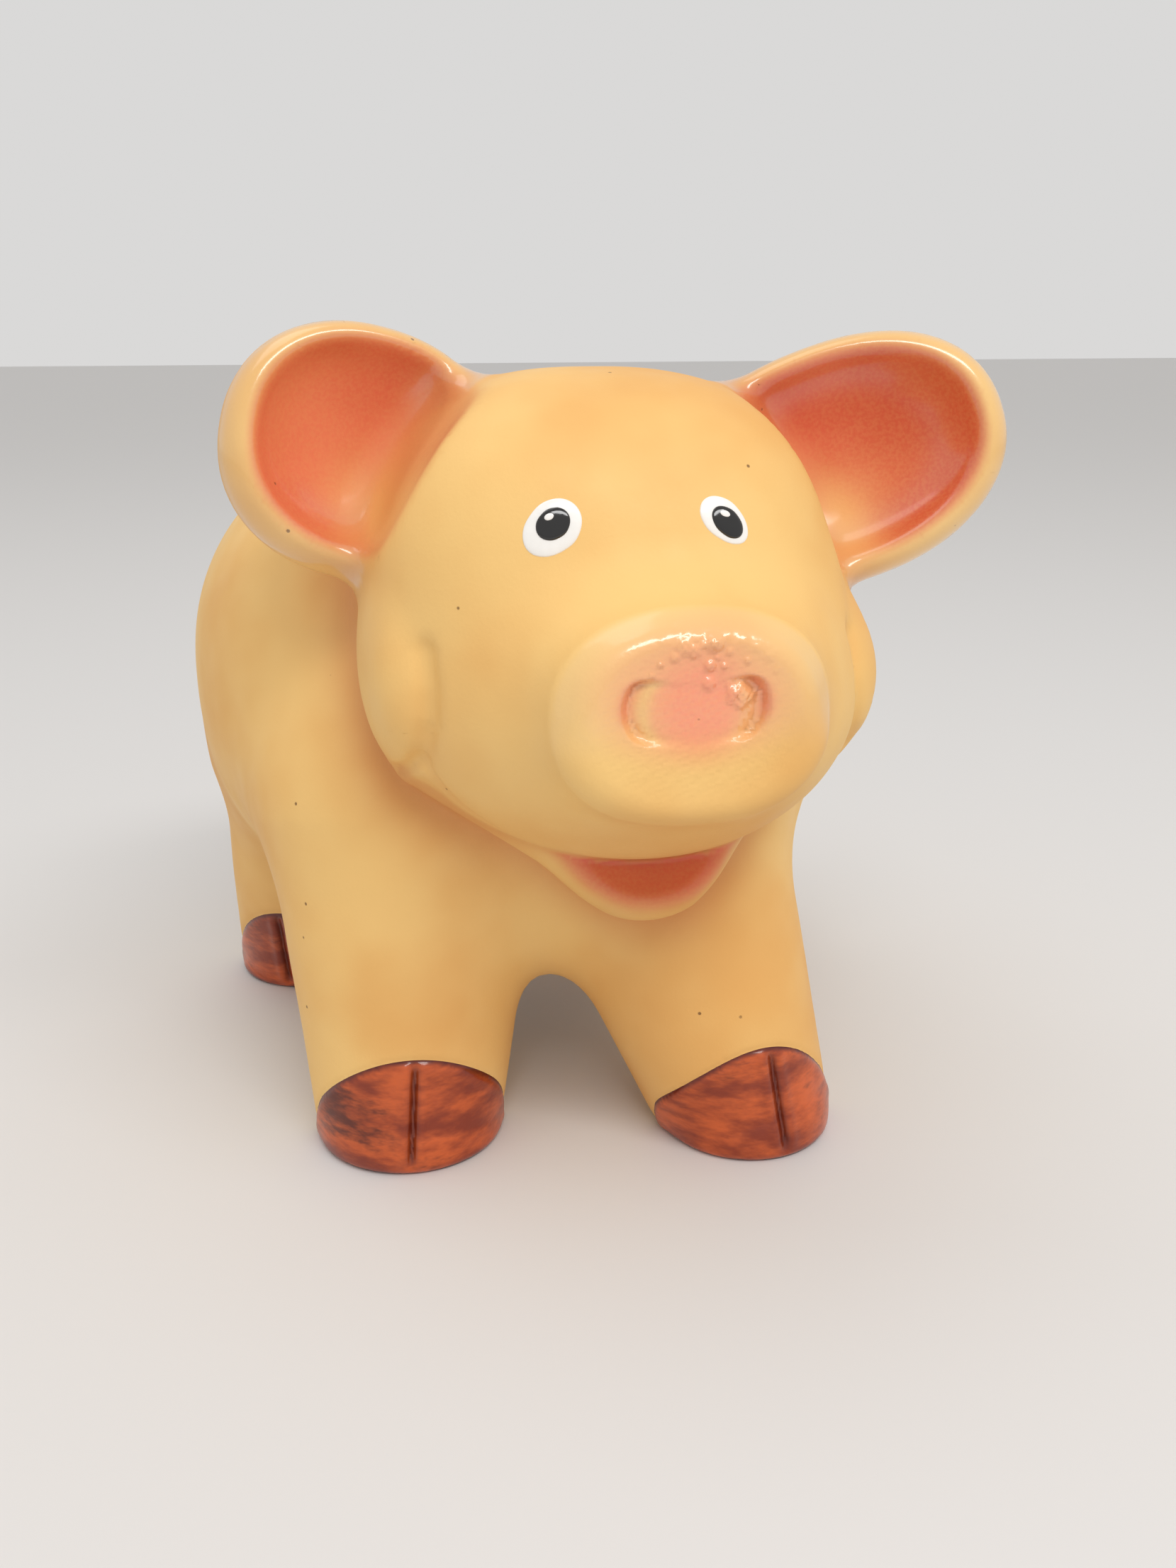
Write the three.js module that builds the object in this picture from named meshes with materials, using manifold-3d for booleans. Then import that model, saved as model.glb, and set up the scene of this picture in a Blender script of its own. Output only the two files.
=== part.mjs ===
// A hollow piggy bank, cast in plaster and painted by hand.
//
// Frame: millimetres, +Z up. The pig stands on z = 0 and looks along -Y, so its left side is +X.
// Every rounded form is a signed field: negative inside, positive outside, roughly a distance in mm.
// Fields are blended, then turned into closed meshes by one polygoniser.

import * as THREE from "three";
import { mergeVertices } from "three/addons/utils/BufferGeometryUtils.js";
import Module from "manifold-3d";

const wasm = await Module();
wasm.setup();

// ---------------------------------------------------------------- driving dimensions

const WALL = 7; // thickness of the cast shell
const GAP = 0.3; // clearance left between neighbouring pieces
const FOOT_SOLID_HEIGHT = 22; // the casting is solid below this height

const BODY_CELL = 5.8; // mesh size of the casting's outside
const CAVITY_CELL = 9.5; // mesh size of its hollow
const EAR_CELL = 3.6;
const HOOF_CELL = 4;
const TAIL_CELL = 2;

const BARREL = { centre: [0, 28, 86], radii: [73, 62, 57], squareness: 2.4 };
const CHEST = { centre: [1, -14, 73], radii: [55, 36, 45] };
const CHEST_BLEND = 20;

// Each leg tapers from the hip to the ankle. The left front foot is set one short step ahead.
const LEGS = {
  front_right: {
    ankle: [-37, -34, 3],
    hip: [-33, -16, 64],
    ankleRadius: 19.7,
    hipRadius: 29,
    splay: -7,
    toe: 15,
  },
  front_left: {
    ankle: [32.7, -50.5, 3],
    hip: [16, -28, 66],
    ankleRadius: 18.2,
    hipRadius: 30,
    splay: -3,
    toe: 13,
  },
  rear_right: {
    ankle: [-50, 56, 3],
    hip: [-42, 44, 60],
    ankleRadius: 17.5,
    hipRadius: 27,
    splay: -22,
    toe: 23,
  },
  rear_left: {
    ankle: [46, 58, 3],
    hip: [42, 46, 60],
    ankleRadius: 17.5,
    hipRadius: 27,
    splay: 22,
    toe: 23,
  },
};
const LEG_BLEND = 12;
const SOLE_EDGE_BLEND = 2;

// The head has its own frame: origin in the middle of the skull, turned a little to the pig's right.
const HEAD = { origin: [6, -42, 108], turn: -5 };
const SKULL = { centre: [-4, 2, 6], radii: [45, 42, 42.5], squareness: 2.5 };
const MUZZLE = { centre: [1.5, -20, -9.5], radii: [37.5, 28, 28.5] };
const MUZZLE_BLEND = 14;
const CHEEKS = [
  { centre: [-40, -10, -5.5], radii: [10, 15, 18] },
  { centre: [36, -10, -8], radii: [10, 15, 18] },
];
const CHEEK_BLEND = 6;
const JAW = { right: [-38.5, -10, -20], left: [34.5, -10, -17.5], chin: [1, -17, -35.5] };
const JAW_CORNER_RADIUS = 7;
const CHIN_RADIUS = 16.5;
const JAW_BLEND = 3;
// The lower lip is a shallow scoop in the front of the chin, under the muzzle.
const LIP_SCOOP = { centre: [-0.5, -44, -33.5], radii: [24, 20, 14] };
const LIP_BLEND = 2.5;
const NECK_BLEND = 5;

const SNOUT = {
  centre: [1, -46, -4.5],
  tilt: -2,
  halfWidth: 22.3,
  halfHeight: 17.3,
  halfLength: 12,
  rim: 4.5,
  flare: 5,
  squareness: 2.3,
};
const SNOUT_BLEND = 8;

const EARS = {
  right_ear: {
    centre: [-47.2, 3, 33.3],
    radii: [26, 13, 22.8],
    tilt: -6,
    lean: 13.7,
    turn: 14,
    rim: 4.5,
  },
  left_ear: {
    centre: [42.5, 0, 29.7],
    radii: [32.9, 13, 22.8],
    tilt: -6,
    lean: -21.3,
    turn: -16,
    rim: 4.4,
  },
};
const EAR_SQUARENESS = 2.2;
const EAR_CUP_DEPTH = 14;
const EAR_CUP_FORWARD = 10;
const EAR_RIM_BLEND = 4;

// The tail is a flat curl on the rump, half sunk into it, winding in from root to tip.
const TAIL = {
  centre: [0, 106],
  outerRadius: 10.5,
  innerRadius: 3.2,
  turns: 1.35,
  rootRadius: 3.7,
  tipRadius: 2,
  beads: 36,
};
const TAIL_LIFT = 1.5;

const HOOF = { top: 24, heel: 2, cleftWidth: 1.6, cleftDepth: 2.4 };

const COIN_SLOT = { length: 36, width: 5, centreY: 30 };

const STOPPER = {
  centreY: 14,
  flangeRadius: 21,
  flangeThickness: 2.2,
  holeRadius: 17.5,
  plugTipRadius: 16.2,
  plugLength: 11,
  bore: 12.5,
  ribRadius: 17.2,
  seatHeight: 31.5,
};

// Painted eyes: a thick white dot and a black pupil dot on it.
const EYES = {
  right: { at: [-16, 132.4], white: [4.2, 5.4], pupil: [2.5, 3], pupilShift: [0.25, 0.55], lean: -47 },
  left: { at: [13, 132.9], white: [3.4, 4.9], pupil: [2.2, 3.2], pupilShift: [0.25, -0.4], lean: 43 },
};
const PAINT_THICKNESS = 0.8;

// ---------------------------------------------------------------- fields

const radians = THREE.MathUtils.degToRad;

function smoothMin(a, b, blend) {
  const h = THREE.MathUtils.clamp(0.5 + (0.5 * (b - a)) / blend, 0, 1);
  return b + (a - b) * h - blend * h * (1 - h);
}

function smoothMax(a, b, blend) {
  return -smoothMin(-a, -b, blend);
}

// A rounded block: an ellipsoid at squareness 2, boxier above it.
function bulge({ centre, radii, squareness = 2 }) {
  const [cx, cy, cz] = centre;
  const [rx, ry, rz] = radii;
  return (x, y, z) => {
    const u = Math.abs(x - cx) / rx;
    const v = Math.abs(y - cy) / ry;
    const w = Math.abs(z - cz) / rz;
    const k = (u ** squareness + v ** squareness + w ** squareness) ** (1 / squareness) + 1e-9;
    const slope = Math.hypot(
      (u / k) ** (squareness - 1) / rx,
      (v / k) ** (squareness - 1) / ry,
      (w / k) ** (squareness - 1) / rz,
    );
    return (k - 1) / slope;
  };
}

// A limb with round ends whose radius changes evenly from one end to the other.
function limb(start, end, startRadius, endRadius) {
  const [ax, ay, az] = start;
  const along = end.map((value, axis) => value - start[axis]);
  const lengthSquared = along.reduce((sum, value) => sum + value * value, 0);
  return (x, y, z) => {
    const dot = (x - ax) * along[0] + (y - ay) * along[1] + (z - az) * along[2];
    const t = THREE.MathUtils.clamp(dot / lengthSquared, 0, 1);
    const distance = Math.hypot(x - ax - t * along[0], y - ay - t * along[1], z - az - t * along[2]);
    return distance - (startRadius + (endRadius - startRadius) * t);
  };
}

// Evaluates a field in a local frame that is placed by a rigid matrix.
function placed(matrix, field) {
  const e = matrix.clone().invert().elements;
  return (x, y, z) =>
    field(
      e[0] * x + e[4] * y + e[8] * z + e[12],
      e[1] * x + e[5] * y + e[9] * z + e[13],
      e[2] * x + e[6] * y + e[10] * z + e[14],
    );
}

function frameAt(origin, { tilt = 0, lean = 0, turn = 0 }) {
  const rotation = new THREE.Matrix4().makeRotationZ(radians(turn));
  rotation.multiply(new THREE.Matrix4().makeRotationY(radians(lean)));
  rotation.multiply(new THREE.Matrix4().makeRotationX(radians(tilt)));
  return rotation.setPosition(...origin);
}

// ---------------------------------------------------------------- the casting's forms

const headFrame = frameAt(HEAD.origin, { turn: HEAD.turn });

function bodyField() {
  const barrel = bulge(BARREL);
  const chest = bulge(CHEST);
  const legs = Object.values(LEGS).map((leg) => {
    return limb(leg.ankle, leg.hip, leg.ankleRadius, leg.hipRadius);
  });
  return (x, y, z) => {
    let d = smoothMin(barrel(x, y, z), chest(x, y, z), CHEST_BLEND);
    for (const leg of legs) d = smoothMin(d, leg(x, y, z), LEG_BLEND);
    return smoothMax(d, -z, SOLE_EDGE_BLEND);
  };
}

function snoutField() {
  const { halfWidth, halfHeight, halfLength, rim, flare, squareness } = SNOUT;
  return (x, y, z) => {
    const across = Math.abs(x / halfWidth) ** squareness;
    const upright = Math.abs(z / halfHeight) ** squareness;
    const k = (across + upright) ** (1 / squareness);
    const towardsFace = THREE.MathUtils.clamp((y + halfLength) / (2.5 * halfLength), 0, 1);
    const sideways = (k - 1) * halfHeight + rim - flare * towardsFace;
    const lengthways = Math.abs(y) - halfLength + rim;
    const outside = Math.hypot(Math.max(sideways, 0), Math.max(lengthways, 0));
    return Math.min(Math.max(sideways, lengthways), 0) + outside - rim;
  };
}

function headField() {
  const skull = bulge(SKULL);
  const muzzle = bulge(MUZZLE);
  const cheeks = CHEEKS.map(bulge);
  const rightJaw = limb(JAW.right, JAW.chin, JAW_CORNER_RADIUS, CHIN_RADIUS);
  const leftJaw = limb(JAW.left, JAW.chin, JAW_CORNER_RADIUS, CHIN_RADIUS);
  const scoop = bulge(LIP_SCOOP);
  const snout = placed(frameAt(SNOUT.centre, { tilt: SNOUT.tilt }), snoutField());
  return placed(headFrame, (x, y, z) => {
    let d = smoothMin(skull(x, y, z), muzzle(x, y, z), MUZZLE_BLEND);
    for (const cheek of cheeks) d = smoothMin(d, cheek(x, y, z), CHEEK_BLEND);
    const jaw = smoothMin(rightJaw(x, y, z), leftJaw(x, y, z), NECK_BLEND);
    d = smoothMin(d, smoothMax(jaw, -scoop(x, y, z), LIP_BLEND), JAW_BLEND);
    return smoothMin(d, snout(x, y, z), SNOUT_BLEND);
  });
}

const body = bodyField();
const head = headField();
const casting = (x, y, z) => smoothMin(body(x, y, z), head(x, y, z), NECK_BLEND);

// An ear is a thick bowl whose open side faces forwards.
function earField(ear) {
  const [rx, , rz] = ear.radii;
  const bowl = bulge({ centre: [0, 0, 0], radii: ear.radii, squareness: EAR_SQUARENESS });
  const cup = bulge({
    centre: [0, -EAR_CUP_FORWARD, 0.5],
    radii: [rx - ear.rim, EAR_CUP_DEPTH, rz - ear.rim],
    squareness: EAR_SQUARENESS,
  });
  const frame = headFrame.clone().multiply(frameAt(ear.centre, ear));
  return placed(frame, (x, y, z) => smoothMax(bowl(x, y, z), -cup(x, y, z), EAR_RIM_BLEND));
}

// Walks along the y axis from outside until it meets the field's surface.
function surfaceY(field, x, z, start) {
  const inwards = -Math.sign(start);
  let y = start;
  for (let i = 0; i < 80; i += 1) y += inwards * field(x, y, z);
  return y;
}

function tailPoint(t) {
  const angle = t * TAIL.turns * 2 * Math.PI - Math.PI / 2;
  const radius = THREE.MathUtils.lerp(TAIL.outerRadius, TAIL.innerRadius, t);
  const x = TAIL.centre[0] + radius * Math.cos(angle);
  const z = TAIL.centre[1] + radius * Math.sin(angle);
  return [x, surfaceY(body, x, z, 110) + TAIL_LIFT, z];
}

function tailField() {
  const pieces = [];
  for (let i = 0; i < TAIL.beads; i += 1) {
    const from = i / TAIL.beads;
    const to = (i + 1) / TAIL.beads;
    const radiusAt = (t) => THREE.MathUtils.lerp(TAIL.rootRadius, TAIL.tipRadius, t);
    pieces.push(limb(tailPoint(from), tailPoint(to), radiusAt(from), radiusAt(to)));
  }
  return (x, y, z) => Math.min(...pieces.map((piece) => piece(x, y, z)));
}

// ---------------------------------------------------------------- polygoniser

const CORNERS = [];
for (const i of [0, 1]) for (const j of [0, 1]) for (const k of [0, 1]) CORNERS.push([i, j, k]);
const EDGES = [];
for (let a = 0; a < 8; a += 1) {
  for (let b = a + 1; b < 8; b += 1) {
    const steps = CORNERS[a].filter((value, axis) => value !== CORNERS[b][axis]).length;
    if (steps === 1) EDGES.push([a, b]);
  }
}

const STEPS = [[1, 0, 0], [0, 1, 0], [0, 0, 1]];

// Where only two opposite corners of a grid square are inside, the surface would touch itself along
// an edge. The nearer of the other two corners is moved inside, which keeps every mesh closed.
function joinDiagonals(values, count, gridIndex, inside) {
  let changed = true;
  while (changed) {
    changed = false;
    for (let i = 0; i < count[0] - 1; i += 1) {
      for (let j = 0; j < count[1] - 1; j += 1) {
        for (let k = 0; k < count[2] - 1; k += 1) {
          for (let axis = 0; axis < 3; axis += 1) {
            const u = STEPS[(axis + 1) % 3];
            const v = STEPS[(axis + 2) % 3];
            const square = [
              gridIndex(i, j, k),
              gridIndex(i + u[0], j + u[1], k + u[2]),
              gridIndex(i + u[0] + v[0], j + u[1] + v[1], k + u[2] + v[2]),
              gridIndex(i + v[0], j + v[1], k + v[2]),
            ];
            const [a, b, c, d] = square.map((index) => values[index] < 0);
            if (a !== c || b !== d || a === b) continue;
            const outer = a ? [square[1], square[3]] : [square[0], square[2]];
            const nearest = values[outer[0]] < values[outer[1]] ? outer[0] : outer[1];
            values[nearest] = inside;
            changed = true;
          }
        }
      }
    }
  }
}

// Surface nets: one vertex in each cell that the surface crosses, one quad for each crossed grid edge.
function polygonise(field, low, high, cell) {
  const count = low.map((value, axis) => Math.ceil((high[axis] - value) / cell) + 1);
  const gridIndex = (i, j, k) => (i * count[1] + j) * count[2] + k;
  const values = new Float64Array(count[0] * count[1] * count[2]);
  for (let i = 0; i < count[0]; i += 1) {
    for (let j = 0; j < count[1]; j += 1) {
      for (let k = 0; k < count[2]; k += 1) {
        values[gridIndex(i, j, k)] = field(low[0] + i * cell, low[1] + j * cell, low[2] + k * cell);
      }
    }
  }
  joinDiagonals(values, count, gridIndex, -0.1 * cell);
  const positions = [];
  const vertexOf = new Map();
  const cellVertex = (i, j, k) => {
    const key = gridIndex(i, j, k);
    if (vertexOf.has(key)) return vertexOf.get(key);
    const corner = CORNERS.map(([a, b, c]) => values[gridIndex(i + a, j + b, k + c)]);
    const sum = [0, 0, 0];
    let crossings = 0;
    for (const [a, b] of EDGES) {
      if (corner[a] < 0 === corner[b] < 0) continue;
      const t = corner[a] / (corner[a] - corner[b]);
      for (let axis = 0; axis < 3; axis += 1) {
        sum[axis] += CORNERS[a][axis] + t * (CORNERS[b][axis] - CORNERS[a][axis]);
      }
      crossings += 1;
    }
    const at = [i, j, k].map((value, axis) => low[axis] + (value + sum[axis] / crossings) * cell);
    positions.push(...at);
    vertexOf.set(key, positions.length / 3 - 1);
    return positions.length / 3 - 1;
  };
  const triangles = [];
  for (let i = 1; i < count[0] - 1; i += 1) {
    for (let j = 1; j < count[1] - 1; j += 1) {
      for (let k = 1; k < count[2] - 1; k += 1) {
        const here = values[gridIndex(i, j, k)] < 0;
        for (let axis = 0; axis < 3; axis += 1) {
          const [di, dj, dk] = STEPS[axis];
          const there = values[gridIndex(i + di, j + dj, k + dk)] < 0;
          if (here === there) continue;
          const u = STEPS[(axis + 1) % 3];
          const v = STEPS[(axis + 2) % 3];
          const quad = [
            cellVertex(i, j, k),
            cellVertex(i - u[0], j - u[1], k - u[2]),
            cellVertex(i - u[0] - v[0], j - u[1] - v[1], k - u[2] - v[2]),
            cellVertex(i - v[0], j - v[1], k - v[2]),
          ];
          if (!here) quad.reverse();
          triangles.push(quad[0], quad[1], quad[2], quad[0], quad[2], quad[3]);
        }
      }
    }
  }
  const geometry = new THREE.BufferGeometry();
  geometry.setAttribute("position", new THREE.Float32BufferAttribute(positions, 3));
  geometry.setIndex(triangles);
  return geometry;
}

// ---------------------------------------------------------------- solids

function toSolid(geometry) {
  const bare = geometry.clone();
  bare.deleteAttribute("normal");
  bare.deleteAttribute("uv");
  const merged = mergeVertices(bare, 1e-4);
  return new wasm.Manifold(
    new wasm.Mesh({
      numProp: 3,
      vertProperties: new Float32Array(merged.getAttribute("position").array),
      triVerts: new Uint32Array(merged.getIndex().array),
    }),
  );
}

function toGeometry(solid) {
  const mesh = solid.getMesh();
  const geometry = new THREE.BufferGeometry();
  geometry.setAttribute("position", new THREE.BufferAttribute(mesh.vertProperties, 3));
  geometry.setIndex(new THREE.BufferAttribute(mesh.triVerts, 1));
  return geometry;
}

function block(size, matrix) {
  return toSolid(new THREE.BoxGeometry(...size).applyMatrix4(matrix));
}

// A turned solid on the vertical axis through (x, y), from [radius, height] pairs.
function turned(profile, x, y, segments = 48) {
  const points = profile.map(([radius, height]) => new THREE.Vector2(radius, height));
  const geometry = new THREE.LatheGeometry(points, segments);
  geometry.rotateX(Math.PI / 2);
  geometry.translate(x, y, 0);
  return toSolid(geometry);
}

// ---------------------------------------------------------------- hooves

// A hoof is the front of the foot, cut off by a plane that leans back towards the sole.
function hoofFrame(leg) {
  const [x, y] = leg.ankle;
  const slope = Math.atan2(HOOF.top, leg.toe + HOOF.heel);
  return new THREE.Matrix4()
    .makeRotationZ(radians(leg.splay))
    .setPosition(x, y + HOOF.heel, 0)
    .multiply(new THREE.Matrix4().makeRotationX(Math.PI / 2 - slope));
}

function hoofRegion(leg, setback) {
  const reach = 34;
  const centred = new THREE.Matrix4().makeTranslation(0, -reach / 2 + setback, 0);
  const [x, y] = leg.ankle;
  const low = block([56, 90, 2 * (HOOF.top + setback)], new THREE.Matrix4().makeTranslation(x, y, 0));
  return block([60, reach, 90], hoofFrame(leg).multiply(centred)).intersect(low);
}

function hoofSolid(leg) {
  const [x, y] = leg.ankle;
  const boxField = bulge({ centre: [x, y - 6, 0], radii: [27, 27, HOOF.top + 8], squareness: 8 });
  const footField = (px, py, pz) => Math.max(body(px, py, pz), boxField(px, py, pz));
  const foot = toSolid(polygonise(footField, [x - 34, y - 40, -5], [x + 34, y + 28, 40], HOOF_CELL));
  const cleft = new THREE.Matrix4()
    .makeRotationZ(radians(leg.splay))
    .setPosition(x, y, 0)
    .multiply(new THREE.Matrix4().makeTranslation(0, -leg.ankleRadius - 10 + HOOF.cleftDepth, 0));
  return foot.intersect(hoofRegion(leg, 0)).subtract(block([HOOF.cleftWidth, 20, 90], cleft));
}

// ---------------------------------------------------------------- openings

function coinSlot() {
  const top = BARREL.centre[2] + BARREL.radii[2];
  const at = new THREE.Matrix4().makeTranslation(BARREL.centre[0], COIN_SLOT.centreY, top);
  return block([COIN_SLOT.width, COIN_SLOT.length, 50], at);
}

// The hole through the belly, with a flat seat for the stopper's flange.
function stopperHole() {
  const { centreY, flangeRadius, holeRadius, seatHeight } = STOPPER;
  const seatRadius = flangeRadius + 0.8;
  const profile = [
    [0, 10],
    [seatRadius, 10],
    [seatRadius, seatHeight],
    [holeRadius, seatHeight],
    [holeRadius, 60],
    [0, 60],
  ];
  return turned(profile, 0, centreY);
}

function stopperSolid() {
  const s = STOPPER;
  const top = s.seatHeight - GAP;
  const bottom = top - s.flangeThickness;
  const tip = top + s.plugLength;
  const profile = [
    [0, bottom],
    [s.flangeRadius, bottom],
    [s.flangeRadius, top],
    [s.plugTipRadius + 0.4, top],
    [s.ribRadius, top + 3],
    [s.ribRadius, top + 4.5],
    [s.plugTipRadius, tip],
    [s.bore, tip],
    [s.bore, top + 1],
    [0, top + 1],
  ];
  return turned(profile, 0, s.centreY);
}

// ---------------------------------------------------------------- painted eyes

function paintDot(x, z, radii, lean, lift) {
  const y = surfaceY(head, x, z, -110);
  const step = 2;
  const normal = new THREE.Vector3(
    head(x + step, y, z) - head(x - step, y, z),
    head(x, y + step, z) - head(x, y - step, z),
    head(x, y, z + step) - head(x, y, z - step),
  ).normalize();
  const dot = new THREE.SphereGeometry(1, 18, 6);
  dot.rotateX(Math.PI / 2);
  dot.scale(radii[0], radii[1], PAINT_THICKNESS / 2);
  dot.rotateZ(radians(lean));
  const turn = new THREE.Quaternion().setFromUnitVectors(new THREE.Vector3(0, 0, 1), normal);
  dot.applyQuaternion(turn);
  const out = normal.multiplyScalar(lift);
  dot.translate(x + out.x, y + out.y, z + out.z);
  return dot;
}

// ---------------------------------------------------------------- materials and assembly

function material(color, roughness) {
  return new THREE.MeshStandardMaterial({ color, roughness, metalness: 0 });
}

const YELLOW = material(0xebc37d, 0.32);
const HOOF_BROWN = material(0x9a4a26, 0.3);
const EYE_WHITE = material(0xf4f1ea, 0.3);
const EYE_BLACK = material(0x14110f, 0.22);
const STOPPER_RUBBER = material(0x2b2a29, 0.7);

const pig = new THREE.Group();

function addPiece(name, geometry, look) {
  const mesh = new THREE.Mesh(geometry, look);
  mesh.name = name;
  pig.add(mesh);
}

const LOW = [-92, -112, -8];
const HIGH = [98, 102, 176];

function bodyShell() {
  let shell = toSolid(polygonise(casting, LOW, HIGH, BODY_CELL));
  const hollow = (x, y, z) => Math.max(casting(x, y, z) + WALL, FOOT_SOLID_HEIGHT - z);
  shell = shell.subtract(toSolid(polygonise(hollow, LOW, HIGH, CAVITY_CELL)));
  shell = shell.subtract(coinSlot()).subtract(stopperHole());
  for (const leg of Object.values(LEGS)) shell = shell.subtract(hoofRegion(leg, GAP));
  return shell;
}

const grown = (x, y, z) => casting(x, y, z) - 2 * GAP;
const clearOfCasting = toSolid(polygonise(grown, LOW, HIGH, BODY_CELL));

addPiece("body_shell", toGeometry(bodyShell()), YELLOW);

for (const [name, ear] of Object.entries(EARS)) {
  const side = Math.sign(ear.centre[0]);
  const low = side < 0 ? [-76, -80, 104] : [10, -80, 104];
  const high = side < 0 ? [-10, -10, 172] : [96, -10, 172];
  const solid = toSolid(polygonise(earField(ear), low, high, EAR_CELL));
  addPiece(name, toGeometry(solid.subtract(clearOfCasting)), YELLOW);
}

const tail = toSolid(polygonise(tailField(), [-20, 70, 86], [20, 104, 126], TAIL_CELL));
addPiece("tail", toGeometry(tail.subtract(clearOfCasting)), YELLOW);

for (const [name, leg] of Object.entries(LEGS)) {
  addPiece(`${name}_hoof`, toGeometry(hoofSolid(leg)), HOOF_BROWN);
}

for (const [side, eye] of Object.entries(EYES)) {
  const [x, z] = eye.at;
  const lift = PAINT_THICKNESS / 2 + GAP;
  addPiece(`${side}_eye_white`, paintDot(x, z, eye.white, eye.lean, lift), EYE_WHITE);
  const [dx, dz] = eye.pupilShift;
  const pupilLift = lift + PAINT_THICKNESS + GAP;
  addPiece(`${side}_eye_pupil`, paintDot(x + dx, z + dz, eye.pupil, eye.lean, pupilLift), EYE_BLACK);
}

addPiece("stopper", toGeometry(stopperSolid()), STOPPER_RUBBER);

// The frame's origin is the middle of the pig's base.
const middle = new THREE.Box3().setFromObject(pig).getCenter(new THREE.Vector3());
pig.position.set(-middle.x, -middle.y, 0);

export default pig;
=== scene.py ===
import math

import bmesh
import bpy
import numpy as np
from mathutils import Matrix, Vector


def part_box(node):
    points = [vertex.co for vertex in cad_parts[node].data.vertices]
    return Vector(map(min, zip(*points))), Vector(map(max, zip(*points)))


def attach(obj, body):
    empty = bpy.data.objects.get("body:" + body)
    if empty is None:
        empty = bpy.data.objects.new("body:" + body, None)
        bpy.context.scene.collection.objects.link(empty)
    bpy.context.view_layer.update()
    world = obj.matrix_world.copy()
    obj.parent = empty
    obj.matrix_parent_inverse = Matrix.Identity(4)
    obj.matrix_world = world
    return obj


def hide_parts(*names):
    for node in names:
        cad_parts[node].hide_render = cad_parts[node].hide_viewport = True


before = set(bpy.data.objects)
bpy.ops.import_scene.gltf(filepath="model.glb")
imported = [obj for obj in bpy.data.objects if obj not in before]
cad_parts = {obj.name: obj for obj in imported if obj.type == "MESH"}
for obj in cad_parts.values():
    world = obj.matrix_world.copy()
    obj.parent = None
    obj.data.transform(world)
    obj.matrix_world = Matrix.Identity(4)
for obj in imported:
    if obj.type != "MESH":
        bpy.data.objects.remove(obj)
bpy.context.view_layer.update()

# ------------------------------------------------------------ frame and sizes
# Forms are worked out in millimetres in the pig's own frame: x to its left, y to its tail, z up,
# with the belly stopper at x 0, y STOPPER_Y. place() turns that into the row frame in metres.

STOPPER_Y = 14.0
stopper_low, stopper_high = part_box("stopper")
SHIFT = np.array([
    (stopper_low.x + stopper_high.x) * 500,
    (stopper_low.y + stopper_high.y) * 500 - STOPPER_Y,
    0.0,
])


def place(points):
    return (np.asarray(points, float) + SHIFT) * 0.001


WALL = 7.0
FOOT_SOLID_HEIGHT = 22.0
FAR = 60.0  # stands for any distance that is too long to matter

# a swelling is its centre, its radii and its squareness, where 2 is round
BARREL = ((0, 28, 86), (73, 62, 57), 2.4)
CHEST = ((1, -14, 73), (55, 36, 45), 2.0)
CHEST_BLEND = 20
# ankle, hip, ankle radius, hip radius, splay, toe reach
LEGS = {
    "front_right": ((-37, -34, 3), (-33, -16, 64), 19.7, 29, -7, 15),
    "front_left": ((32.7, -50.5, 3), (16, -28, 66), 18.2, 30, -3, 13),
    "rear_right": ((-50, 56, 3), (-42, 44, 60), 17.5, 27, -22, 23),
    "rear_left": ((46, 58, 3), (42, 46, 60), 17.5, 27, 22, 23),
}
LEG_BLEND = 12
SOLE_EDGE = 2
HOOF_TOP = 24.0
HOOF_HEEL = 2.0
HOOF_ARCH = 0.028
HOOF_SLANT = {"front_left": 0.12}
# how far each cleft stands off the middle, at the sole and at the hoof's top
CLEFT_SHIFT = {"front_right": (-1.0, 0.9), "front_left": (3.5, 0.0)}

HEAD_ORIGIN = np.array([6.0, -42.0, 108.0])
SKULL = ((-4, 2, 6), (45, 42, 42.5), 2.5)
MUZZLE = ((1.5, -20, -9.5), (37.5, 28, 28.5), 2.0)
MUZZLE_BLEND = 14
CHEEKS = [((-40, -10, -5.5), (10, 15, 18), 2.0), ((36, -10, -8), (10, 15, 18), 2.0)]
CHEEK_BLEND = 6
JAW_RIGHT = (-38.5, -10, -20)
JAW_LEFT = (34.5, -10, -17.5)
JAW_CORNER_RADIUS = 7
CHIN = (1, -17, -35.5)
CHIN_RADIUS = 16.5
CHIN_BLEND = 5
LIP_SCOOP = ((-0.5, -44, -33.5), (24, 20, 14), 2.0)
LIP_BLEND = 2.5
MOUTH_BLEND = 1.5
NECK_BLEND = 5

SNOUT_CENTRE = np.array([1.0, -46.0, -4.5])
SNOUT_RADII = (22.3, 17.3)
SNOUT_SQUARENESS = 2.3
SNOUT_HALF_DEPTH = 12
SNOUT_EDGE = 4.5
SNOUT_FLARE = 5
SNOUT_BLEND = 8

# centre, radii, (tilt, lean, turn), rim
EARS = {
    "right": ((-47.2, 3, 33.3), (26, 13, 22.8), (-6, 13.7, 14), 4.5),
    "left": ((42.5, 0, 29.7), (32.9, 13, 22.8), (-6, -21.3, -16), 4.4),
}
INWARDS = {"right": 1, "left": -1}
EAR_SQUARENESS = 2.2
EAR_BLEND = 6
EAR_MARGIN = np.array([14, 22, 14])
CUP_EDGE = 4
CUP_REACH = 13.0  # how far a cup runs towards the head, from the middle of its ear

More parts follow.
